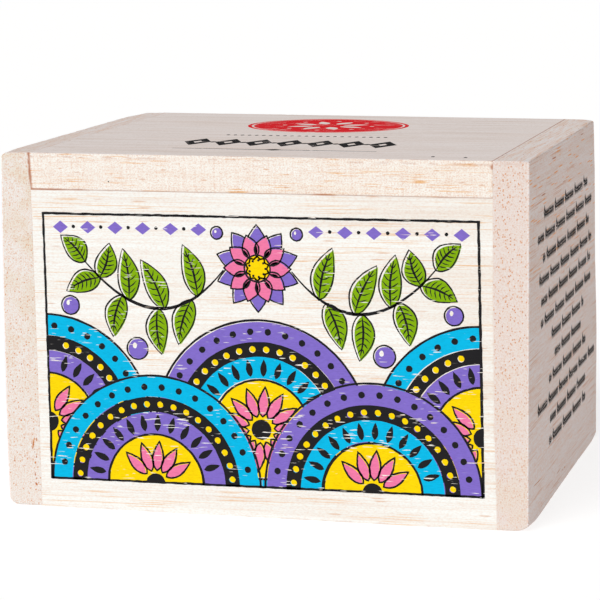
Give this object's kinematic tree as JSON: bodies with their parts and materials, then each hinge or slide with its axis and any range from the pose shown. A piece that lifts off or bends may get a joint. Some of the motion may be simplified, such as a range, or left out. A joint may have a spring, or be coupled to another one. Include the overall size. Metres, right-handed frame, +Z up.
{
  "type": "wooden tea box",
  "caption": "Small wooden box with a pegged lid set between full-height end boards, for loose tea; its lid swings up at the front and back over the rear wall.",
  "frame": {"origin": "middle of the footprint, on the surface that the box stands on", "axes": "+Z up, front towards -Y, +X to the right as seen from the front"},
  "size_m": [0.1, 0.0816, 0.0676],
  "materials": {
    "end_board_wood": "bare, sanded, end grain at the front and back",
    "wall_wood": "bare, sanded, printed at the front",
    "lid_wood": "bare, sanded top with a sawn front edge",
    "bamboo": "bare bamboo peg"
  },
  "bodies": {
    "box": {"end_board_left": "end_board_wood", "end_board_right": "end_board_wood", "front_board": "wall_wood", "back_board": "wall_wood", "bottom_board": "wall_wood"},
    "lid": {"lid": "lid_wood", "hinge_pin_left": "bamboo", "hinge_pin_right": "bamboo"}
  },
  "joints": [
    {"name": "lid_hinge", "type": "hinge", "parent": "box", "child": "lid", "pos_m": [0, 0.0376, 0.06435], "axis": [-1, 0, 0], "range_deg": [0, 95]}
  ]
}
